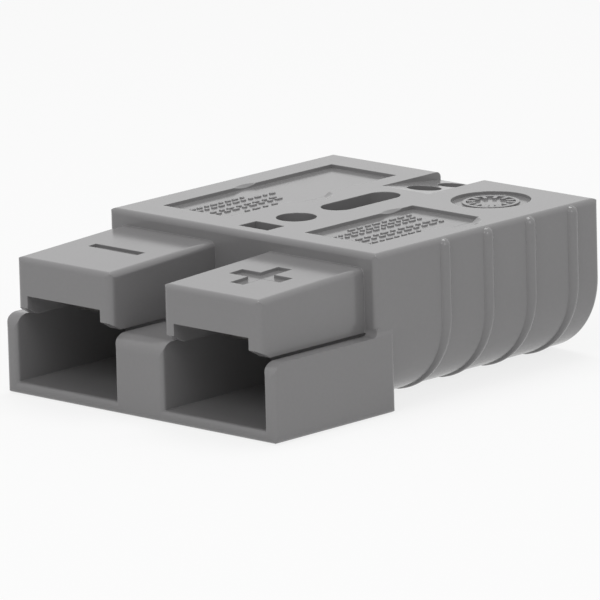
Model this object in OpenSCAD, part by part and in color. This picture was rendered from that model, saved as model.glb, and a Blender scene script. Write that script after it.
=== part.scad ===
// Two-pole genderless power connector: one moulded housing, two leaf springs, two crimp contacts.
// The housing mates with a second one like itself, turned over about its length.
// X runs across the two poles, +Y from the mating face to the cable end, +Z up.
// The origin is at the centre of the underside. Millimetres.

/* [Tongues and sockets] */
// Width of each tongue
tongue_w = 13.1; // [12:0.1:14.5]
// Length of each tongue, from its tip to the front face of the body
tongue_l = 14.9; // [13:0.1:17]
// Side clearance between a tongue and the socket of the mating half
tongue_clear = 0.25; // [0.1:0.05:0.5]
// Height clearance between a tongue and the floor of the mating half's socket
tongue_floor_clear = 0.25; // [0.1:0.05:0.6]
// How far the tip of a tongue's top lies below its root
tongue_draft = 0.65; // [0:0.05:1]
// Half the gap left between two mated halves at the middle plane
mate_gap = 0.1; // [0.05:0.01:0.2]
// Radius on a tongue's two upright front edges
tongue_edge_r = 0.8; // [0.3:0.1:1.5]
// Length of the lead-in under a tongue's tip
lead_l = 1.4; // [0.5:0.1:2.5]
// Height of the lead-in under a tongue's tip
lead_h = 0.8; // [0.3:0.1:1.2]
// Width of the channel in a tongue's underside
channel_w = 10.1; // [8.5:0.1:11]
// Thickness of the outer wall of a socket
wall_t = 1.35; // [1.1:0.05:2]
// Thickness of the floor of a socket
floor_t = 1.25; // [1.1:0.05:2]
// Width of the solid divider between the two sockets
divider_w = 6.6; // [5:0.1:9]
// Depth of a socket beyond the front face of the body
socket_over = 0.4; // [0.2:0.1:1]
// How far the front box stands out beyond the sides of the body
flare = 0.2; // [0:0.05:0.4]
// Radius on the front top corner of the socket walls and divider
wall_nose_r = 1.6; // [1:0.1:3]
// Radius on the edges of a socket's mouth
mouth_r = 0.5; // [0.2:0.05:0.6]

/* [Body] */
// Overall length, from the mating face to the cable end
body_l = 47.8; // [46:0.1:56]
// Overall height
body_h = 16.2; // [15.6:0.1:18]
// Length of the flat-bottomed collar behind the body's front face
collar_over = 2.4; // [1:0.1:4]
// Radius on the outer edges of the moulding
edge_r = 0.6; // [0.3:0.1:1]
// Radius of the small blend between a wall's top and the body's front
wall_root_r = 0.6; // [0.3:0.1:1]
// Thickness of the web that joins the two round cable lobes, measured from the top
web_t = 11.6; // [9:0.1:13]

/* [Side ribs] */
// Number of grip ribs on each side
rib_n = 4; // [2:1:5]
// Radius of a rib's round section
rib_r = 0.75; // [0.5:0.05:1]
// How far a rib stands out of the side
rib_proud = 0.45; // [0.2:0.05:0.6]
// Distance from the collar to the first rib
rib_front_gap = 7.7; // [4:0.1:9]
// Distance from the last rib to the cable end
rib_rear_gap = 4.0; // [2:0.1:6]
// Drop from the top face to the ribs' rounded upper ends
rib_drop = 0.1; // [0.1:0.1:2]
// How far a rib's curve is raised so that it fades out under the lobe
rib_fade = 0.25; // [0:0.05:0.6]

/* [Top face] */
// Depth of the two label recesses
label_depth = 0.4; // [0.2:0.05:0.6]
// Width of the label recesses
label_w = 9.0; // [7:0.1:11]
// Distance from the body's front to the long label recess, and from it to the cable end
label_margin = 4.1; // [3:0.1:6]
// Distance from the body's front to the short label recess
label_short_margin = 3.4; // [2.5:0.1:6]
// Distance between the short label recess and the round recess behind it
label_gap = 2.65; // [1:0.1:4]
// Diameter of the shallow scoops that cross the two sides of each label recess
scoop_d = 5.9; // [4:0.1:6.5]
// Distance between the two scoops of a label recess
scoop_pitch = 5.7; // [5.2:0.1:6.2]
// How far the pair of scoops lies off the pole's middle, towards the plus side
scoop_shift = 0.8; // [0:0.1:1]
// Distance from the body's front to the scoops
scoop_y = 16.0; // [14:0.1:16.5]
// Depth of the scoops
scoop_depth = 0.35; // [0.15:0.05:0.35]
// Width of a scoop's sloping rim
scoop_rim = 0.7; // [0.4:0.1:2]
// Diameter of the round recess with the plain dial
dial_d = 8.1; // [6:0.1:9]
// Distance from the round recess to the cable end
dial_margin = 3.05; // [2:0.1:4]
// Depth of the round recess
dial_depth = 0.35; // [0.2:0.05:0.6]
// Length of the bars of the polarity marks
mark_l = 6.8; // [5:0.1:9]
// Width of the plus mark's two bars
plus_w = 1.8; // [0.8:0.1:2]
// Width of the minus mark's bar
minus_w = 1.1; // [0.8:0.1:2]
// Distance from the housing's middle to the polarity marks
mark_x = 9.9; // [8:0.1:11]
// Depth of the polarity marks
mark_depth = 0.35; // [0.2:0.05:0.6]

/* [Middle web] */
// Diameter of the front fixing hole
hole_front_d = 4.1; // [3:0.1:4.5]
// Distance from the body's front to the front fixing hole
hole_front_y = 8.1; // [7.5:0.1:9.5]
// Diameter of the rear fixing hole
hole_rear_d = 3.5; // [3:0.1:4.5]
// Distance from the rear fixing hole to the cable end
hole_rear_y = 6.0; // [5:0.1:6.5]
// Length of the long cored slot between the holes
slot_l = 10.1; // [7:0.1:11]
// Width of the long cored slot
slot_w = 3.6; // [2.5:0.1:4.5]
// Size of the square-cornered pocket in front of the front hole, across
key_w = 3.9; // [3:0.1:5]
// Size of the square-cornered pocket, along
key_l = 2.5; // [2:0.1:3]
// Distance from the body's front to the middle of that pocket
key_y = 3.1; // [3:0.1:4]
// Depth of the slot and the pocket
core_depth = 3.0; // [1.5:0.1:5]
// Width of the sloping channel at the cable end
valley_w = 6.5; // [5:0.1:8]
// Length of the sloping channel
valley_l = 8.8; // [7:0.1:9.5]
// Depth of the sloping channel at the cable end
valley_depth = 1.0; // [0.4:0.1:1.4]
// Diameter of the small dimple behind the rear hole
dimple_d = 3.0; // [2:0.1:3.2]
// Distance from the dimple's middle to the cable end
dimple_y = 1.8; // [1.7:0.1:2]

/* [Cable entry] */
// Diameter of the cable entry
entry_d = 11.0; // [9.5:0.1:12.5]
// Depth of the cable entry
entry_l = 11.0; // [8:0.1:14]

/* [Contacts] */
// Width of the contact's blade
blade_w = 7.2; // [6:0.1:8]
// Thickness of the blade
blade_t = 1.6; // [1.2:0.1:2]
// How far the blade hangs below the middle plane
blade_drop = 0.05; // [0:0.01:0.1]
// Distance from the mating face to the blade's tip
blade_tip_y = 5.2; // [3:0.1:6]
// Radius of the lead-in under the blade's tip
blade_nose_r = 0.9; // [0.4:0.1:1.2]
// Length of the upturned lip at the blade's tip
lip_l = 0.8; // [0.5:0.1:1.2]
// Height of the lip above the blade
lip_h = 0.4; // [0.2:0.05:0.5]
// Outside diameter of the crimp barrel
barrel_d = 7.8; // [6.5:0.1:8.5]
// Bore of the crimp barrel
crimp_d = 5.6; // [4:0.1:6.2]
// Depth of the crimp bore
crimp_l = 12.5; // [8:0.1:13.5]
// Length of the crimp barrel
barrel_l = 14.5; // [14:0.1:15]
// Length of the cone between the blade and the barrel
neck_l = 3.2; // [2:0.1:4]
// Diameter of the inspection hole through the barrel's wall
inspect_d = 1.6; // [1:0.1:2.2]
// Clearance around the contact in the housing
contact_clear = 0.2; // [0.1:0.05:0.3]

/* [Leaf springs] */
// Width of a leaf spring
spring_w = 6.0; // [4.5:0.1:6.5]
// Thickness of the spring strip
spring_t = 0.35; // [0.25:0.05:0.5]
// Rise of the spring's arch
spring_arch = 0.16; // [0.1:0.02:0.4]
// Gap between the spring's upturned tail and the chamber behind it
tail_gap = 1.52; // [1:0.02:2]
// Height of the upturned tail above the channel's roof
tail_h = 1.8; // [1:0.1:2.5]
// Clearance around the spring
spring_clear = 0.04; // [0.02:0.01:0.1]

/* [Hidden] */
$fn = 96;
arch_fn = 1440; // sides of the spring's very large arcs
over = 1; // how far a cutting shape runs past the face that it opens

// Sockets and outer size
socket_w = tongue_w + 2 * tongue_clear;
pole_x = (socket_w + divider_w) / 2;
half_w = pole_x + socket_w / 2 + wall_t;
mid_z = body_h / 2;
wall_top = mid_z - mate_gap;
socket_l = tongue_l + socket_over;
collar_l = tongue_l + collar_over;
lobe_r = half_w - pole_x;
tongue_z = mid_z + mate_gap;
tongue_top = body_h - floor_t - tongue_floor_clear;
tip_top = tongue_top - tongue_draft;
tongue_slope = atan(tongue_draft / socket_l);

// Contacts and springs
blade_z = mid_z - blade_drop;
blade_top = blade_z + blade_t;
roof_z = blade_top + 2 * spring_clear + spring_t + spring_arch;
chamber_d = barrel_d + 2 * contact_clear;
entry_y = body_l - entry_l;
barrel_y = entry_y - barrel_l;
chamber_y = barrel_y - neck_l - contact_clear;
spring_y = blade_tip_y + lip_l + 2 * spring_clear;
tail_y = chamber_y - tail_gap;
spring_l = tail_y - spring_y;
arch_r = spring_l * spring_l / (8 * spring_arch) + spring_arch / 2;

// Ribs
rib_first = collar_l + rib_front_gap;
rib_pitch = (body_l - rib_rear_gap - rib_first) / (rib_n - 1);
rib_sink = rib_r - rib_proud;

// Top face
dial_y = body_l - dial_margin - dial_d / 2;
front_hole_y = tongue_l + hole_front_y;
rear_hole_y = body_l - hole_rear_y;
label_short_end = dial_y - dial_d / 2 - label_gap;
dial_proud = 0.2; // height of the dial's ring and tick marks
dial_ticks = 12;

housing_color = [0.66, 0.655, 0.66];
contact_color = [0.86, 0.86, 0.84];
spring_color = [0.72, 0.73, 0.75];

// ---- profiles and cutters ----------------------------------------------------------------

// What a round corner of radius r takes off, or what a concave blend adds: a square from the
// corner in the direction of the two signs, less a circle. The square starts a little outside.
module corner(r, signs, outside = 0) {
    size = r + outside;
    difference() {
        translate([signs[0] > 0 ? -outside : -r, signs[1] > 0 ? -outside : -r]) square(size);
        translate([signs[0] * r, signs[1] * r]) circle(r);
    }
}

// A rectangle from low to high with its own radius at each corner:
// low low, high low, high high, low high.
module round_rect(low, high, radii) {
    place = [low, [high[0], low[1]], high, [low[0], high[1]]];
    inward = [[1, 1], [-1, 1], [-1, -1], [1, -1]];
    difference() {
        translate(low) square(high - low);
        for (i = [0:3])
            if (radii[i] > 0)
                translate(place[i]) corner(radii[i], inward[i], over);
    }
}

// An outline in X and Z, drawn out along Y between two places.
module along_y(y0, y1) {
    translate([0, y1, 0]) rotate([90, 0, 0]) linear_extrude(y1 - y0) children();
}

// An outline in Y and Z, drawn out along X between two places.
module along_x(x0, x1) {
    translate([x0, 0, 0]) rotate([90, 0, 90]) linear_extrude(x1 - x0) children();
}

// An outline in X and Y, drawn up between two heights.
module along_z(z0, z1) {
    translate([0, 0, z0]) linear_extrude(z1 - z0) children();
}

module block(low, high) {
    translate(low) cube(high - low);
}

module at_poles() {
    for (side = [-1, 1]) translate([side * pole_x, 0, 0]) children();
}

// ---- housing -----------------------------------------------------------------------------

// The flat-bottomed front: sockets' walls, divider, floor and collar.
module front_box() {
    wide = half_w + flare;
    intersection() {
        along_y(0, collar_l) {
            round_rect([-wide, 0], [wide, wall_top], [edge_r, edge_r, 0, 0]);
            polygon([[-wide, wall_top], [wide, wall_top], [half_w, wall_top + 2 * flare],
                     [half_w, wall_top + edge_r + over], [-half_w, wall_top + edge_r + over],
                     [-half_w, wall_top + 2 * flare]]);
        }
        along_x(-wide, wide) union() {
            round_rect([0, 0], [collar_l, wall_top], [edge_r, edge_r, 0, wall_nose_r]);
            translate([tongue_l, edge_r]) square([collar_over, lobe_r]);
            translate([tongue_l, wall_top]) corner(wall_root_r, [-1, 1]);
        }
        along_z(0, body_h) round_rect([-wide, 0], [wide, collar_l], edge_r * [1, 1, 1, 1]);
    }
}

// The rear body's upper part: a flat-topped block and, between the lobes, the web.
module upper_body() {
    intersection() {
        along_y(tongue_l, body_l) {
            round_rect([-half_w, lobe_r], [half_w, body_h], [0, 0, edge_r, edge_r]);
            translate([-pole_x, body_h - web_t]) square([2 * pole_x, web_t - edge_r]);
        }
        along_x(-half_w, half_w)
            round_rect([tongue_l, body_h - web_t], [body_l, body_h], [0, edge_r, edge_r, edge_r]);
        along_z(0, body_h)
            round_rect([-half_w, tongue_l], [half_w, body_l], edge_r * [1, 1, 1, 1]);
    }
}

// The lower half of one round cable lobe, turned about its length, with its rear edge rounded.
module lobe() {
    translate([0, body_l, lobe_r]) rotate([90, 0, 0])
        rotate_extrude(angle = -180)
            round_rect([0, 0], [lobe_r, body_l - tongue_l], [0, edge_r, 0, 0]);
}

// What a round edge takes off the front of a top that rises behind it at an angle.
module rising_corner(r, angle) {
    middle = [r, r * (tan(angle) - 1 / cos(angle))];
    difference() {
        polygon([middle, [-over, middle[1]], [-over, over],
                 middle + (r + over) * [-sin(angle), cos(angle)]]);
        translate(middle) circle(r);
    }
}

// One tongue, with its top sloping up to the root, its lead-in below and its rounded edges.
module tongue() {
    half = tongue_w / 2;
    difference() {
        intersection() {
            along_x(-half, half) difference() {
                polygon([[0, tongue_z + lead_h], [lead_l, tongue_z], [socket_l, tongue_z],
                         [socket_l, tongue_top], [0, tip_top]]);
                translate([0, tip_top]) rising_corner(edge_r, tongue_slope);
            }
            along_z(0, body_h)
                round_rect([-half, 0], [half, socket_l + over], [tongue_edge_r, tongue_edge_r, 0, 0]);
        }
        for (side = [-1, 1])
            on_tongue([side * half, 0]) along_y(-over, socket_l + over)
                corner(edge_r, [-side, -1], over);
    }
}

// Sets something on a tongue's sloping top, at a place across and along.
module on_tongue(place) {
    translate([place[0], 0, tip_top]) rotate([tongue_slope, 0, 0]) translate([0, place[1], 0])
        children();
}

// One grip rib: a half-round bead down the side that wraps under the lobe and fades out.
module rib() {
    reach = half_w - rib_sink;
    turn_z = lobe_r + rib_fade;
    intersection() {
        union() {
            translate([reach, 0, turn_z]) cylinder(r = rib_r, h = body_h - rib_drop - rib_r - turn_z);
            translate([reach, 0, body_h - rib_drop - rib_r]) sphere(rib_r);
            translate([pole_x, 0, turn_z]) rotate([90, 0, 0])
                rotate_extrude(angle = -90) translate([reach - pole_x, 0]) circle(rib_r);
        }
        block([0, -rib_r - over, 0], [half_w + rib_r + over, rib_r + over, body_h]);
    }
}

module ribs() {
    for (i = [0:rib_n - 1])
        translate([0, rib_first + i * rib_pitch, 0]) {
            rib();
            mirror([1, 0, 0]) rib();
        }
}

// One socket, open at the front and above, with the edges of its mouth rounded.
module socket() {
    half = socket_w / 2;
    intersection() {
        along_z(0, body_h) {
            translate([-half, -over]) square([socket_w, socket_l + 2 * over]);
            for (side = [-1, 1])
                translate([side * half, 0]) corner(mouth_r, [side, 1], over);
        }
        along_x(-half_w, half_w) {
            translate([-over, floor_t]) square([socket_l + over, tongue_z - floor_t]);
            translate([0, floor_t]) corner(mouth_r, [1, -1], over);
        }
    }
}

// Everything hollow on one pole, from the mating face to the cable end.
module pole_cavity() {
    slot_half = blade_w / 2 + contact_clear;
    tail_half = spring_w / 2 + contact_clear;
    socket();
    block([-channel_w / 2, -over, mid_z], [channel_w / 2, socket_l, roof_z]);
    block([-slot_half, 0, blade_z - contact_clear], [slot_half, barrel_y, roof_z]);
    block([-tail_half, tail_y - spring_t - spring_clear, blade_top],
          [tail_half, tail_y + spring_clear, roof_z + tail_h + spring_clear]);
    translate([0, 0, mid_z]) {
        along_y_cylinder(chamber_d, chamber_y, entry_y + over);
        along_y_cylinder(entry_d, entry_y, body_l + over);
    }
}

module along_y_cylinder(d, y0, y1) {
    translate([0, y1, 0]) rotate([90, 0, 0]) cylinder(d = d, h = y1 - y0);
}

// A flat-bottomed recess in the top face.
module recess(x0, x1, y0, y1, depth) {
    block([x0, y0, body_h - depth], [x1, y1, body_h + over]);
}

module round_recess(d, y, depth) {
    translate([0, y, body_h - depth]) cylinder(d = d, h = depth + over);
}

// The two shallow round scoops in the sides of a label recess, with sloping rims.
module scoops() {
    for (side = [-1, 1])
        translate([scoop_shift + side * scoop_pitch / 2, tongue_l + scoop_y, body_h - scoop_depth])
            cylinder(d1 = scoop_d - 2 * scoop_rim, d2 = scoop_d + 2 * scoop_rim * over / scoop_depth,
                     h = scoop_depth + over);
}

// Holes, slot, pocket, dimple and the sloping channel along the middle web.
module web_cuts() {
    slot_y = (front_hole_y + rear_hole_y) / 2;
    slot_half = (slot_l - slot_w) / 2;
    translate([0, front_hole_y, -over]) cylinder(d = hole_front_d, h = body_h + 2 * over);
    translate([0, rear_hole_y, -over]) cylinder(d = hole_rear_d, h = body_h + 2 * over);
    round_recess(dimple_d, body_l - dimple_y, valley_depth + label_depth);
    recess(-key_w / 2, key_w / 2, tongue_l + key_y - key_l / 2, tongue_l + key_y + key_l / 2,
           core_depth);
    recess(-slot_w / 2, slot_w / 2, slot_y - slot_half, slot_y + slot_half, core_depth);
    for (end = [-1, 1]) round_recess(slot_w, slot_y + end * slot_half, core_depth);
    along_x(-valley_w / 2, valley_w / 2)
        polygon([[body_l - valley_l, body_h], [body_l + over, body_h - valley_depth],
                 [body_l + over, body_h + over], [body_l - valley_l, body_h + over]]);
}

// The bar of a minus or plus sign, cut into a tongue's top.
module mark_bar(x, width, turn) {
    on_tongue([x, tongue_l / 2]) rotate([0, 0, turn])
        block([-mark_l / 2, -width / 2, -mark_depth], [mark_l / 2, width / 2, over]);
}

module top_cuts() {
    at_poles() scoops();
    translate([-pole_x, 0, 0])
        recess(-label_w / 2, label_w / 2, tongue_l + label_margin, body_l - label_margin, label_depth);
    translate([pole_x, 0, 0]) {
        recess(-label_w / 2, label_w / 2, tongue_l + label_short_margin, label_short_end, label_depth);
        round_recess(dial_d, dial_y, dial_depth);
    }
    mark_bar(-mark_x, minus_w, 0);
    mark_bar(mark_x, plus_w, 0);
    mark_bar(mark_x, plus_w, 90);
}

// A plain raised dial in the round recess: a ring and its tick marks.
module dial() {
    low = body_h - dial_depth;
    outer = dial_d * 0.36;
    ring_w = dial_d * 0.05;
    translate([pole_x, dial_y, low - over / 2]) {
        difference() {
            cylinder(r = outer, h = dial_proud + over / 2);
            translate([0, 0, -over]) cylinder(r = outer - ring_w, h = 3 * over);
        }
        for (i = [0:dial_ticks - 1])
            rotate([0, 0, i * 360 / dial_ticks])
                translate([outer * 0.55, -ring_w / 2, 0])
                    cube([outer * 0.3, ring_w, dial_proud + over / 2]);
    }
}

module housing() {
    color(housing_color) {
        difference() {
            union() {
                front_box();
                upper_body();
                ribs();
                at_poles() {
                    lobe();
                    tongue();
                }
            }
            at_poles() pole_cavity();
            web_cuts();
            top_cuts();
        }
        dial();
    }
}

// ---- contacts and springs ----------------------------------------------------------------

// The contact's side view: a flat blade with a rounded lead-in and an upturned lip at its tip.
module blade_outline() {
    difference() {
        union() {
            translate([blade_tip_y, blade_z]) square([barrel_y - blade_tip_y + over, blade_t]);
            translate([blade_tip_y, blade_top - over / 2]) square([lip_l, lip_h + over / 2]);
        }
        translate([blade_tip_y, blade_z]) corner(blade_nose_r, [1, 1], over);
    }
}

module contact() {
    color(contact_color)
        difference() {
            union() {
                along_x(-blade_w / 2, blade_w / 2) blade_outline();
                translate([0, barrel_y, mid_z]) rotate([90, 0, 0])
                    cylinder(d1 = barrel_d, d2 = 2 * blade_t, h = neck_l);
                translate([0, 0, mid_z]) along_y_cylinder(barrel_d, barrel_y, entry_y);
            }
            translate([0, 0, mid_z]) along_y_cylinder(crimp_d, entry_y - crimp_l, entry_y + over);
            translate([0, entry_y - crimp_l + inspect_d, mid_z - barrel_d / 2 - over])
                cylinder(d = inspect_d, h = barrel_d / 2);
        }
}

// A bowed strip with an upturned tail that hooks into the roof of the contact's slot.
module spring() {
    low = blade_top + spring_clear;
    color(spring_color)
        along_x(-spring_w / 2, spring_w / 2) {
            intersection() {
                translate([spring_y + spring_l / 2, low + spring_arch - arch_r]) difference() {
                    circle(arch_r + spring_t, $fn = arch_fn);
                    circle(arch_r, $fn = arch_fn);
                }
                translate([spring_y, low - over]) square([spring_l, spring_t + spring_arch + 2 * over]);
            }
            translate([tail_y - spring_t, low + spring_t / 2])
                square([spring_t, roof_z + tail_h - low - spring_t / 2]);
        }
}

// ---- the whole, with its origin at the centre of the underside ------------------------------

module placed() {
    translate([0, -body_l / 2, 0]) children();
}

module contact_negative() {
    placed() translate([-pole_x, 0, 0]) contact();
}

module contact_positive() {
    placed() translate([pole_x, 0, 0]) contact();
}

module spring_negative() {
    placed() translate([-pole_x, 0, 0]) spring();
}

module spring_positive() {
    placed() translate([pole_x, 0, 0]) spring();
}

placed() housing();
spring_negative();
spring_positive();
contact_negative();
contact_positive();
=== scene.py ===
# %% [markdown]
# # A two-pole power connector, dressed for the studio
#
# The connector is one moulded plastic housing with a metal contact and a leaf spring in each of
# its two poles. Both halves of a pair are the same part: each has two tongues on top and two
# sockets below, so that a second one, turned over, plugs into it.
#
# The solids are modelled elsewhere, in millimetre-true CAD, and arrive here as a frame. This
# lesson gives them their plastic and metal, remodels the small metal parts with finer edges, and
# sets up a small photo studio. Every length below is in metres, as in the frame.

# %% Load the frame
import math

import bmesh
import bpy
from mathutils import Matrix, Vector


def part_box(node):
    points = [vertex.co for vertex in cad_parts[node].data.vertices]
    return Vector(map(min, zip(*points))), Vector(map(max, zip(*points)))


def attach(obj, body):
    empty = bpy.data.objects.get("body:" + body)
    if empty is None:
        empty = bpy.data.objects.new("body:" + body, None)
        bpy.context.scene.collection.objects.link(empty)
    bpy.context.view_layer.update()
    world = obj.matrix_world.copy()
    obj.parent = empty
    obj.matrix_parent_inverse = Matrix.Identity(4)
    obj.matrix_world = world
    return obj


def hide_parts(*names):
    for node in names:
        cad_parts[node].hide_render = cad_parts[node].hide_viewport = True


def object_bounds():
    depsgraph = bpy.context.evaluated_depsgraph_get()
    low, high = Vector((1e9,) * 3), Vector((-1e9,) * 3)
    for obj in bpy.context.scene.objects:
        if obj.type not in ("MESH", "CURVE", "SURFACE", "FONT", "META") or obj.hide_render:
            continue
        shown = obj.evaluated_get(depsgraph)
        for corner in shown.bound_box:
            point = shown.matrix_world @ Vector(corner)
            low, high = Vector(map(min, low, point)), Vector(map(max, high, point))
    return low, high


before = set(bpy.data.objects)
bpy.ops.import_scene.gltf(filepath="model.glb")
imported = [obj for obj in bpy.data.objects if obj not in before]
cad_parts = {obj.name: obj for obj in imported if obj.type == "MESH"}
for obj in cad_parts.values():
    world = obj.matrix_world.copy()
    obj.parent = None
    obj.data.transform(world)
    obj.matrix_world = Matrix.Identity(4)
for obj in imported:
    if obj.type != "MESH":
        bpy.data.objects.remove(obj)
cad_low, cad_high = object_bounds()
print("CAD nodes:", sorted(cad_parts))
print("CAD box in mm:", [round(1000 * v, 2) for v in (*cad_low, *cad_high)])

# %% [markdown]
# ## The camera
#
# The connector is seen from its front right corner, from a little above, through a very long
# lens, so that parallel edges stay nearly parallel. The camera is placed by the direction it
# looks from and its distance, and tilted by a degree and a half. It could also be set with a
# Track To constraint, but a fixed rotation is easier to read back and can't drift.

# %% Place the camera
AIM = Vector((0.0015737, -0.0023292, 0.0082127))
AZIMUTH, ELEVATION, TILT = (math.radians(a) for a in (43.71, 12.77, -1.50))
DISTANCE = 0.896
SENSOR_WIDTH, LENS = 36.0, 540.16  # in millimetres, as Blender's cameras have them

back = Vector((math.sin(AZIMUTH) * math.cos(ELEVATION),
               -math.cos(AZIMUTH) * math.cos(ELEVATION), math.sin(ELEVATION)))
studio_camera = bpy.data.objects.new("studio_camera", bpy.data.cameras.new("studio_camera"))
studio_camera.data.sensor_width = SENSOR_WIDTH
studio_camera.data.lens = LENS
studio_camera.data.clip_start, studio_camera.data.clip_end = 0.05, 20.0
studio_camera.location = AIM + DISTANCE * back
studio_camera.rotation_euler = (-back).to_track_quat("-Z", "Y").to_euler()
studio_camera.rotation_euler.rotate_axis("Z", TILT)
bpy.context.scene.collection.objects.link(studio_camera)
bpy.context.scene.camera = studio_camera
bpy.context.scene.view_settings.view_transform = "Standard"
print("camera at", [round(v, 3) for v in studio_camera.location])

# %% [markdown]
# ## Helpers for modelling by hand
#
# An operator works on whatever is selected, so each step first clears the selection and then
# picks faces or edges by where they lie. These few helpers stand in for the mouse: `pick` selects
# faces by a test on their middle and normal, `place_in_mesh` puts an object's place into its mesh,
# as the frame's own parts have it, and `soften` rounds what is still sharp at the end.

# %% Selection helpers
MM = 0.001
SMOOTH_ANGLE = math.radians(35)


def clear_selection():
    if bpy.context.mode != "OBJECT":
        bpy.ops.object.mode_set(mode="OBJECT")
    bpy.ops.object.select_all(action="DESELECT")


def choose(piece):
    clear_selection()
    piece.select_set(True)
    bpy.context.view_layer.objects.active = piece
    return piece


def place_in_mesh(piece):
    choose(piece)
    bpy.ops.object.transform_apply(location=True, rotation=True, scale=True)


def pick(piece, kind, test):
    """Selects the faces, edges or vertices whose middle (and a face's normal) pass the test."""
    choose(piece)
    bpy.ops.object.mode_set(mode="EDIT")
    bpy.ops.mesh.select_mode(type=kind)
    bpy.ops.mesh.select_all(action="DESELECT")
    mesh = bmesh.from_edit_mesh(piece.data)
    chosen = 0
    for part in {"FACE": mesh.faces, "EDGE": mesh.edges, "VERT": mesh.verts}[kind]:
        if kind == "FACE":
            passed = test(part.calc_center_median(), part.normal)
        elif kind == "EDGE":
            a, b = (v.co for v in part.verts)
            passed = test((a + b) / 2, (b - a).normalized())
        else:
            passed = test(part.co, part.normal)
        if passed:
            part.select_set(True)
            chosen += 1
    mesh.select_flush_mode()
    bmesh.update_edit_mesh(piece.data)
    return chosen


def add_modifier(piece, kind, **settings):
    modifier = piece.modifiers.new(kind.lower(), kind)
    for name, value in settings.items():
        setattr(modifier, name, value)
    return modifier


def apply_modifiers(piece):
    choose(piece)
    for modifier in list(piece.modifiers):
        bpy.ops.object.modifier_apply(modifier=modifier.name)


def soften(piece, width, segments=2, angle=30):
    """Rounds every edge sharper than the angle, then shades it smooth."""
    add_modifier(piece, "BEVEL", width=width, segments=segments, limit_method="ANGLE",
                 angle_limit=math.radians(angle), use_clamp_overlap=True)
    apply_modifiers(piece)
    choose(piece)
    bpy.ops.object.shade_smooth_by_angle(angle=SMOOTH_ANGLE)


def triangles(piece):
    return sum(len(face.vertices) - 2 for face in piece.data.polygons)


print("helpers ready; Blender", bpy.app.version_string)

# %% [markdown]
# ## Shared effects as node groups
#
# Moulded plastic is never quite even. Its skin has a slight orange peel from the mould, its
# colour drifts by a percent or two where the melt cooled, and its gloss varies a little. Metal
# parts have drawing lines instead. Each effect is a small node group with named inputs, so that
# every material can use it at its own strength. A group only gives colours, values and masks.

# %% Helpers for node groups


def new_group(name, inputs, outputs):
    group = bpy.data.node_groups.new(name, "ShaderNodeTree")
    for title, kind, value in inputs:
        socket = group.interface.new_socket(title, in_out="INPUT", socket_type=kind)
        socket.default_value = value
    for title, kind in outputs:
        group.interface.new_socket(title, in_out="OUTPUT", socket_type=kind)
    return group, group.nodes.new("NodeGroupInput"), group.nodes.new("NodeGroupOutput")


def add_node(tree, kind, wires=(), **settings):
    """Adds a node, sets its properties and joins its inputs: wires is {input: value or socket}."""
    node = tree.nodes.new(kind)
    for name, value in settings.items():
        setattr(node, name, value)
    for name, value in dict(wires).items():
        if isinstance(value, bpy.types.NodeSocket):
            tree.links.new(value, node.inputs[name])
        else:
            node.inputs[name].default_value = value
    return node


def noise(tree, where, scale, detail=2.0):
    return add_node(tree, "ShaderNodeTexNoise", {
        "Vector": where, "Scale": scale, "Detail": detail})


def spread(tree, value, low, high):
    """Maps a noise value around 0.5 to low..high."""
    return add_node(tree, "ShaderNodeMapRange", {
        "Value": value, "From Min": 0.3, "From Max": 0.7, "To Min": low, "To Max": high})


def blend_colours(tree, factor, a, b):
    """Colour a where the factor is 0, b where it is 1. Sockets 6 and 7 are a Mix node's colours."""
    node = add_node(tree, "ShaderNodeMix", {0: factor, 6: a, 7: b}, data_type="RGBA")
    return node.outputs[2]


print("node helpers ready")

# %% The moulded skin
FLOAT, COLOUR, VECTOR = "NodeSocketFloat", "NodeSocketColor", "NodeSocketVector"


def make_moulded_skin():
    """Colour drift, gloss drift and orange peel, from a place on the object."""
    tree, given, out = new_group(
        "moulded skin",
        [("Place", VECTOR, (0, 0, 0)), ("Colour", COLOUR, (0.2, 0.2, 0.2, 1)),
         ("Drift", FLOAT, 0.02), ("Gloss", FLOAT, 0.2), ("Gloss drift", FLOAT, 0.03)],
        [("Colour", COLOUR), ("Roughness", FLOAT), ("Height", FLOAT)])
    drift = noise(tree, given.outputs["Place"], 90, detail=3)
    fine = noise(tree, given.outputs["Place"], 2600, detail=2)
    both = add_node(tree, "ShaderNodeMath", {0: drift.outputs["Fac"], 1: fine.outputs["Fac"]},
                    operation="ADD")
    centred = add_node(tree, "ShaderNodeMath", {0: both.outputs[0], 1: -1.0}, operation="ADD")
    amount = add_node(tree, "ShaderNodeMath",
                      {0: centred.outputs[0], 1: given.outputs["Drift"], 2: 1.0},
                      operation="MULTIPLY_ADD")
    tinted = add_node(tree, "ShaderNodeVectorMath", {0: given.outputs["Colour"]}, operation="SCALE")
    tree.links.new(amount.outputs[0], tinted.inputs["Scale"])
    patches = noise(tree, given.outputs["Place"], 260, detail=2)
    shifted = add_node(tree, "ShaderNodeMath", {0: patches.outputs["Fac"], 1: -0.5},
                       operation="ADD")
    gloss = add_node(tree, "ShaderNodeMath",
                     {0: shifted.outputs[0], 1: given.outputs["Gloss drift"],
                      2: given.outputs["Gloss"]}, operation="MULTIPLY_ADD")
    peel = noise(tree, given.outputs["Place"], 900, detail=2)
    tree.links.new(tinted.outputs["Vector"], out.inputs["Colour"])
    tree.links.new(gloss.outputs[0], out.inputs["Roughness"])
    tree.links.new(peel.outputs["Fac"], out.inputs["Height"])
    return tree


moulded_skin = make_moulded_skin()
print("group:", moulded_skin.name, "with", len(moulded_skin.nodes), "nodes")

# %% The drawn metal


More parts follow.
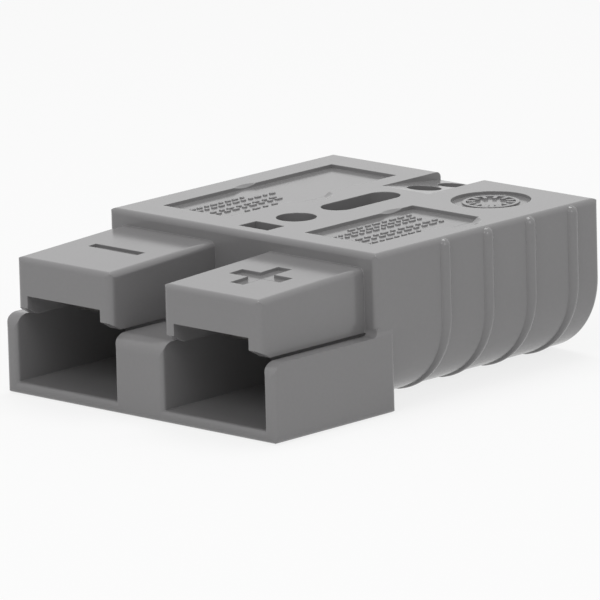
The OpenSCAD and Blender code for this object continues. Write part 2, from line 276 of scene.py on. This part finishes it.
def make_drawn_metal():
    """Long fine lines along Y, as rolling and drawing leave them, with faint dull patches."""
    tree, given, out = new_group(
        "drawn metal",
        [("Place", VECTOR, (0, 0, 0)), ("Colour", COLOUR, (0.8, 0.8, 0.8, 1)),
         ("Dull colour", COLOUR, (0.6, 0.6, 0.6, 1)), ("Gloss", FLOAT, 0.25)],
        [("Colour", COLOUR), ("Roughness", FLOAT), ("Height", FLOAT)])
    stretched = add_node(tree, "ShaderNodeMapping", {
        "Vector": given.outputs["Place"], "Scale": (9000, 350, 9000)})
    lines = noise(tree, stretched.outputs["Vector"], 1.0, detail=3)
    patches = noise(tree, given.outputs["Place"], 420, detail=3)
    dullness = spread(tree, patches.outputs["Fac"], 0.0, 0.6)
    mixed = blend_colours(tree, dullness.outputs["Result"],
                          given.outputs["Colour"], given.outputs["Dull colour"])
    wobble = add_node(tree, "ShaderNodeMath", {0: lines.outputs["Fac"], 1: 0.16, 2: -0.08},
                      operation="MULTIPLY_ADD")
    gloss = add_node(tree, "ShaderNodeMath",
                     {0: wobble.outputs[0], 1: given.outputs["Gloss"]}, operation="ADD")
    tree.links.new(mixed, out.inputs["Colour"])
    tree.links.new(gloss.outputs[0], out.inputs["Roughness"])
    tree.links.new(lines.outputs["Fac"], out.inputs["Height"])
    return tree


drawn_metal = make_drawn_metal()
print("group:", drawn_metal.name, "with", len(drawn_metal.nodes), "nodes")

# %% [markdown]
# ## Materials
#
# Each material places the groups above and keeps its own Principled shader. The plastic also uses
# a Bevel node: the real moulding has no knife-sharp edge anywhere, not even round a recess a
# few tenths deep, and the node bends the light at such edges as if they had a small radius. Real
# bevels would do it too, but on a solid with hundreds of fine faces they'd cost far more triangles.

# %% A builder for materials


def new_material(name, skin, values, bump, edge=None, **sockets):
    """A Principled shader fed by one of the groups. bump is the height of its relief in metres."""
    material = bpy.data.materials.new(name)
    material.use_nodes = True
    tree = material.node_tree
    tree.nodes.clear()
    place = add_node(tree, "ShaderNodeTexCoord").outputs["Object"]
    effect = add_node(tree, "ShaderNodeGroup", node_tree=skin)
    tree.links.new(place, effect.inputs["Place"])
    for title, value in values.items():
        effect.inputs[title].default_value = value
    relief = add_node(tree, "ShaderNodeBump", {
        "Height": effect.outputs["Height"], "Distance": bump, "Strength": 1.0})
    if edge:
        rounded = add_node(tree, "ShaderNodeBevel", {"Radius": edge}, samples=8)
        tree.links.new(rounded.outputs["Normal"], relief.inputs["Normal"])
    shader = add_node(tree, "ShaderNodeBsdfPrincipled", {
        "Base Color": effect.outputs["Colour"], "Roughness": effect.outputs["Roughness"],
        "Normal": relief.outputs["Normal"], **sockets})
    out = add_node(tree, "ShaderNodeOutputMaterial")
    tree.links.new(shader.outputs["BSDF"], out.inputs["Surface"])
    return material


grey_moulding = new_material(
    "grey_moulding", moulded_skin,
    {"Colour": (0.205, 0.202, 0.204, 1), "Drift": 0.06, "Gloss": 0.16, "Gloss drift": 0.08},
    bump=0.8e-6, edge=0.12 * MM, IOR=1.5)
silver_plate = new_material(
    "silver_plate", drawn_metal,
    {"Colour": (0.86, 0.855, 0.83, 1), "Dull colour": (0.70, 0.69, 0.65, 1), "Gloss": 0.22},
    bump=0.4e-6, Metallic=1.0)
spring_strip = new_material(
    "spring_strip", drawn_metal,
    {"Colour": (0.58, 0.585, 0.60, 1), "Dull colour": (0.44, 0.44, 0.45, 1), "Gloss": 0.28},
    bump=0.4e-6, Metallic=1.0)
print("materials:", [m.name for m in (grey_moulding, silver_plate, spring_strip)])

# %% [markdown]
# ## The housing
#
# The housing is kept as the CAD gives it, because its shape is right to a hundredth of a
# millimetre, rounded edges included. Only its finish is new.

# %% Dress the housing
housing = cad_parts["housing"]
housing.material_slots[0].material = grey_moulding
print("housing:", triangles(housing), "triangles")

# %% [markdown]
# ## The contacts
#
# A contact is a flat blade with a small upturned lip at its tip, behind it a crimp barrel that
# takes the wire, and a cone between the two. It could be kept from the CAD, but its edges are
# what catches the light at the mouths of the tongues and in the cable entries, so it is
# modelled again with rounded edges: a cylinder whose end is inset and pushed in for the bore, and
# a box whose tip is cut, raised and rounded.

# %% The barrel with its bore
BLADE_WIDTH, BLADE_THICK, LIP_LONG, LIP_HIGH = 7.2 * MM, 1.6 * MM, 0.8 * MM, 0.4 * MM
BARREL_RADIUS, BORE_RADIUS, BORE_DEEP, BARREL_LONG = 3.9 * MM, 2.8 * MM, 12.5 * MM, 14.5 * MM
NECK_LONG, INSPECTION_RADIUS = 3.2 * MM, 0.8 * MM
NOSE_RADIUS, BLADE_DROP, BORE_TIP = 0.9 * MM, 0.05 * MM, 0.5 * MM
ROOT_OVERLAP, CONTACT_EDGE, NEAR = 1.0 * MM, 0.08 * MM, 0.01 * MM


def make_barrel(x, end_y, axis_z):
    """A cylinder along Y with a bore pushed into its cable end and a cone drawn out of its front."""
    clear_selection()
    bpy.ops.mesh.primitive_cylinder_add(
        vertices=64, radius=BARREL_RADIUS, depth=BARREL_LONG,
        location=(x, end_y - BARREL_LONG / 2, axis_z), rotation=(math.pi / 2, 0, 0))
    barrel = bpy.context.object
    place_in_mesh(barrel)
    pick(barrel, "FACE", lambda c, n: n.y > 0.9)
    bpy.ops.mesh.inset(thickness=BARREL_RADIUS - BORE_RADIUS)
    bpy.ops.mesh.extrude_region_move(
        TRANSFORM_OT_translate={"value": (0, -BORE_DEEP, 0)})
    bpy.ops.mesh.inset(thickness=BORE_RADIUS * 0.6)
    bpy.ops.transform.translate(value=(0, -BORE_TIP, 0))
    pick(barrel, "FACE", lambda c, n: n.y < -0.9 and c.y < end_y - BARREL_LONG + NEAR)
    bpy.ops.mesh.extrude_region_move(TRANSFORM_OT_translate={"value": (0, -NECK_LONG, 0)})
    share = BLADE_THICK / BARREL_RADIUS
    bpy.ops.transform.resize(value=(share, 1, share))
    bpy.ops.object.mode_set(mode="OBJECT")
    return barrel


contact_low, contact_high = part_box("contact_negative")
POLE_X = -(contact_low.x + contact_high.x) / 2
AXIS_Z = contact_high.z - BARREL_RADIUS
print("pole at X", round(1000 * POLE_X, 2), "mm, barrel axis at Z", round(1000 * AXIS_Z, 2), "mm")

# %% The blade with its lip


def make_blade(x, tip_y, root_y, low_z):
    """A bar whose tip is cut off as a strip, raised for the lip and rounded underneath."""
    clear_selection()
    bpy.ops.mesh.primitive_cube_add(
        size=1, location=(x, (tip_y + root_y) / 2, low_z + BLADE_THICK / 2),
        scale=(BLADE_WIDTH, root_y - tip_y, BLADE_THICK))
    blade = bpy.context.object
    place_in_mesh(blade)
    pick(blade, "FACE", lambda c, n: True)
    bpy.ops.mesh.bisect(plane_co=(x, tip_y + LIP_LONG, low_z), plane_no=(0, 1, 0))
    pick(blade, "FACE", lambda c, n: n.z > 0.9 and c.y < tip_y + LIP_LONG)
    bpy.ops.mesh.extrude_region_move(TRANSFORM_OT_translate={"value": (0, 0, LIP_HIGH)})
    pick(blade, "EDGE", lambda c, d: abs(d.x) > 0.9 and c.y < tip_y + NEAR
         and c.z < low_z + NEAR)
    bpy.ops.mesh.bevel(offset=NOSE_RADIUS, segments=8)
    bpy.ops.object.mode_set(mode="OBJECT")
    return blade


def cut_or_join(piece, other, operation):
    """Joins another solid to a piece or cuts it away, then removes the other."""
    add_modifier(piece, "BOOLEAN", object=other, operation=operation, solver="EXACT")
    apply_modifiers(piece)
    bpy.data.objects.remove(other)


print("blade from", round(1000 * contact_low.y, 2), "mm")

# %% Two contacts


def make_contact(name, x):
    contact = make_barrel(x, contact_high.y, AXIS_Z)
    blade = make_blade(x, contact_low.y, contact_high.y - BARREL_LONG + ROOT_OVERLAP,
                       AXIS_Z - BLADE_DROP)
    cut_or_join(contact, blade, "UNION")
    clear_selection()
    bpy.ops.mesh.primitive_cylinder_add(
        vertices=32, radius=INSPECTION_RADIUS, depth=BARREL_RADIUS,
        location=(x, contact_high.y - BORE_DEEP + 2 * INSPECTION_RADIUS,
                  AXIS_Z - BARREL_RADIUS))
    cut_or_join(contact, bpy.context.object, "DIFFERENCE")
    soften(contact, CONTACT_EDGE)
    contact.name = name
    contact.data.materials.clear()
    contact.data.materials.append(silver_plate)
    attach(contact, "root")
    return contact


for side, sign in (("negative", -1), ("positive", 1)):
    contact = make_contact("plated_contact_" + side, sign * POLE_X)
    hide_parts("contact_" + side)
    print(contact.name, triangles(contact), "triangles,",
          [round(1000 * v, 2) for v in contact.dimensions], "mm")

# %% [markdown]
# ## The leaf springs
#
# Above each contact lies a bowed strip of spring steel whose tail turns up into the plastic. It
# could be bent from a flat bar by a deform modifier. Spinning one edge about a far-off centre is
# more direct: it draws the bow at its true radius, and one more extrusion makes the tail.

# %% Two springs
STRIP_WIDE, STRIP_THICK, BOW, STRIP_EDGE = 6.0 * MM, 0.35 * MM, 0.16 * MM, 0.06 * MM
spring_low, spring_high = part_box("spring_negative")
BOW_LONG = spring_high.y - spring_low.y
BOW_RADIUS = BOW_LONG ** 2 / (8 * BOW) + BOW / 2


def make_spring(name, x):
    clear_selection()
    reach = BOW_RADIUS + STRIP_THICK / 2
    centre = Vector((x, (spring_low.y + spring_high.y) / 2, spring_low.z + BOW - BOW_RADIUS))
    half_turn = math.asin(BOW_LONG / 2 / BOW_RADIUS) - 0.0008
    start = centre + reach * Vector((0, -math.sin(half_turn), math.cos(half_turn)))
    bpy.ops.mesh.primitive_plane_add(size=STRIP_WIDE, location=start)
    spring = bpy.context.object
    place_in_mesh(spring)
    pick(spring, "VERT", lambda c, n: c.y > start.y)
    bpy.ops.mesh.delete(type="VERT")
    pick(spring, "VERT", lambda c, n: True)
    bpy.ops.transform.translate(value=(0, STRIP_WIDE / 2, 0))
    bpy.ops.mesh.spin(steps=24, angle=2 * half_turn, center=centre, axis=(1, 0, 0))
    end_y = max(v.co.y for v in bmesh.from_edit_mesh(spring.data).verts)
    print("bow ends at Y", round(1000 * end_y, 2), "mm, from", round(1000 * start.y, 2))
    pick(spring, "VERT", lambda c, n: c.y > end_y - NEAR)
    tail = spring_high.z - spring_low.z - STRIP_THICK / 2
    bpy.ops.mesh.extrude_region_move(TRANSFORM_OT_translate={"value": (0, 0, tail)})
    bpy.ops.object.mode_set(mode="OBJECT")
    add_modifier(spring, "SOLIDIFY", thickness=STRIP_THICK, offset=0.0, use_even_offset=True)
    apply_modifiers(spring)
    pick(spring, "FACE", lambda c, n: True)
    bpy.ops.mesh.normals_make_consistent(inside=False)
    bpy.ops.object.mode_set(mode="OBJECT")
    soften(spring, STRIP_EDGE)
    spring.name = name
    spring.data.materials.append(spring_strip)
    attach(spring, "root")
    return spring


for side, sign in (("negative", -1), ("positive", 1)):
    spring = make_spring("bowed_spring_" + side, sign * POLE_X)
    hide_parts("spring_" + side)
    print(spring.name, triangles(spring), "triangles,",
          [round(1000 * v, 2) for v in spring.dimensions], "mm")

# %% [markdown]
# ## Plain ridges in the label panels
#
# The housing's top has a sunk panel over each pole. On the real part they carry fine raised
# marking. Here they carry plain, blank dashes in rows. One dash is modelled by rounding a small
# box. Each other is a copy of it with its own mesh, stretched and moved in edit mode, which keeps
# all of them alike without modelling a hundred boxes by hand.

# %% One dash
DASH_WIDE, DASH_LONG, DASH_HIGH, DASH_SUNK = 0.42 * MM, 1.0 * MM, 0.14 * MM, 0.10 * MM
DASH_CORNER, DASH_EDGE, PANEL_DEEP = 0.45 * DASH_WIDE, 0.05 * MM, 0.4 * MM
PANEL_Z = cad_high.z - PANEL_DEEP


def make_dash():
    clear_selection()
    bpy.ops.mesh.primitive_cube_add(
        size=1, location=(0, 0, (DASH_HIGH - DASH_SUNK) / 2),
        scale=(DASH_WIDE, DASH_LONG, DASH_HIGH + DASH_SUNK))
    dash = bpy.context.object
    place_in_mesh(dash)
    pick(dash, "EDGE", lambda c, d: abs(d.z) > 0.9)
    bpy.ops.mesh.bevel(offset=DASH_CORNER, segments=3)
    pick(dash, "FACE", lambda c, n: n.z > 0.9)
    bpy.ops.mesh.bevel(offset=DASH_EDGE, segments=1)
    bpy.ops.object.mode_set(mode="OBJECT")
    return dash


first_dash = make_dash()
print("one dash:", triangles(first_dash), "triangles")

# %% Rows of dashes
GAP = 0.38  # between two dashes, in millimetres
UNEVEN, STRIDE = 0.25, 2.4  # how much the dashes' lengths vary, and how fast along a row


def copy_dash(x, middle_y, long):
    """A copy with its own mesh: its two ends are drawn apart, then it is moved to its place."""
    dash = first_dash.copy()
    dash.data = first_dash.data.copy()
    bpy.context.scene.collection.objects.link(dash)
    for way in (-1, 1):
        pick(dash, "VERT", lambda c, n: way * c.y > 0)
        bpy.ops.transform.translate(value=(0, way * (long - DASH_LONG) / 2, 0))
    pick(dash, "VERT", lambda c, n: True)
    bpy.ops.transform.translate(value=(x, middle_y, PANEL_Z))
    bpy.ops.object.mode_set(mode="OBJECT")
    return dash


def make_panel_ridges(name, rows):
    """rows is a list of (x, from_y, to_y, length of a dash) in millimetres."""
    dashes = []
    for x, from_y, to_y, long in rows:
        count = round((to_y - from_y) / (long + GAP))
        step = (to_y - from_y) / count
        for i in range(count):
            own = long * (1 + UNEVEN * math.sin(STRIDE * i + x))
            dashes.append(copy_dash(MM * x, MM * (from_y + (i + 0.5) * step), MM * own))
    choose(dashes[0])
    for dash in dashes:
        dash.select_set(True)
    bpy.ops.object.join()
    panel = bpy.context.object
    bpy.ops.object.shade_smooth_by_angle(angle=SMOOTH_ANGLE)
    panel.name = name
    panel.data.materials.append(grey_moulding)
    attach(panel, "root")
    print(panel.name, len(dashes), "dashes,", triangles(panel), "triangles")


make_panel_ridges("panel_ridges_negative", [
    (-11.9, -4.0, 4.2, 0.7), (-10.9, -4.0, 7.6, 0.7), (-9.4, -3.7, 6.2, 0.8),
    (-8.6, -3.7, 6.2, 0.8), (-7.2, -1.1, 4.2, 0.8)])
make_panel_ridges("panel_ridges_positive", [
    (7.4, -1.4, 8.2, 0.8), (8.4, -5.0, 7.6, 0.7), (9.3, -5.0, 7.6, 0.7), (10.9, -5.3, 8.2, 0.8),
    (11.8, -5.3, 8.2, 0.8), (13.1, -5.1, 3.4, 0.7), (14.0, -5.1, 2.0, 0.7)])
bpy.data.objects.remove(first_dash)

# %% [markdown]
# ## The studio
#
# A pale floor, an even white surround and three soft boxes: one above, one behind the camera's
# left shoulder and one low on the right. The surround looks white in the plastic's gloss, and lights
# the plastic more gently than that. Light Path tells those two kinds of ray apart.

# %% Surround and floor


def white_to_the_eye(tree):
    """1 for rays from the camera and for reflections, 0 for light that lights a surface."""
    path = add_node(tree, "ShaderNodeLightPath")
    seen = add_node(tree, "ShaderNodeMath", {
        0: path.outputs["Is Camera Ray"], 1: path.outputs["Is Glossy Ray"]}, operation="MAXIMUM")
    return add_node(tree, "ShaderNodeMath", {
        0: seen.outputs[0], 1: path.outputs["Is Transmission Ray"]}, operation="MAXIMUM").outputs[0]


AMBIENT = 0.50
FLOOR_RADIUS, FLOOR_DROP, PAPER_GLOW = 4.0, 0.02 * MM, 0.80
world = bpy.data.worlds.new("white_surround")
bpy.context.scene.world = world
world.use_nodes = True
tree = world.node_tree
tree.nodes.clear()
strength = add_node(tree, "ShaderNodeMapRange", {
    "Value": white_to_the_eye(tree), "To Min": AMBIENT, "To Max": 1.0})
surround = add_node(tree, "ShaderNodeBackground", {
    "Color": (1, 1, 1, 1), "Strength": strength.outputs["Result"]})
out = add_node(tree, "ShaderNodeOutputWorld")
tree.links.new(surround.outputs["Background"], out.inputs["Surface"])

clear_selection()
bpy.ops.mesh.primitive_circle_add(vertices=96, radius=FLOOR_RADIUS, fill_type="NGON",
                                  location=(0, 0, -FLOOR_DROP))
floor = bpy.context.object
floor.name = "floor"
paper = bpy.data.materials.new("white_paper")
paper.use_nodes = True
tree = paper.node_tree
tree.nodes.clear()
matt = add_node(tree, "ShaderNodeBsdfDiffuse", {"Color": (0.80, 0.80, 0.80, 1)})
glow = add_node(tree, "ShaderNodeEmission", {"Color": (1, 1, 1, 1), "Strength": 1.0})
share = add_node(tree, "ShaderNodeMath", {0: white_to_the_eye(tree), 1: PAPER_GLOW},
                 operation="MULTIPLY")
mix = add_node(tree, "ShaderNodeMixShader", {
    0: share.outputs[0], 1: matt.outputs["BSDF"], 2: glow.outputs["Emission"]})
out = add_node(tree, "ShaderNodeOutputMaterial")
tree.links.new(mix.outputs["Shader"], out.inputs["Surface"])
floor.data.materials.append(paper)
print("surround at", AMBIENT, "for lighting; floor", 2 * FLOOR_RADIUS, "m across")

# %% Soft boxes


def soft_box(name, azimuth, elevation, distance, size, watts):
    """A square lamp that looks at the connector. Azimuth 0 is in front, 90 on the right."""
    lamp = bpy.data.objects.new(name, bpy.data.lights.new(name, "AREA"))
    lamp.data.shape, lamp.data.size, lamp.data.energy = "SQUARE", size, watts
    a, e = math.radians(azimuth), math.radians(elevation)
    way = Vector((math.sin(a) * math.cos(e), -math.cos(a) * math.cos(e), math.sin(e)))
    lamp.location = Vector((0, 0, 0.01)) + distance * way
    lamp.rotation_euler = (-way).to_track_quat("-Z", "Y").to_euler()
    bpy.context.scene.collection.objects.link(lamp)
    print(name, "radiance about", round(watts / (math.pi * size * size), 1))


soft_box("box_above", azimuth=200, elevation=75, distance=0.45, size=0.22, watts=0.75)
soft_box("box_left", azimuth=10, elevation=45, distance=0.50, size=0.22, watts=0.60)
soft_box("box_right", azimuth=75, elevation=30, distance=0.55, size=0.20, watts=0.35)
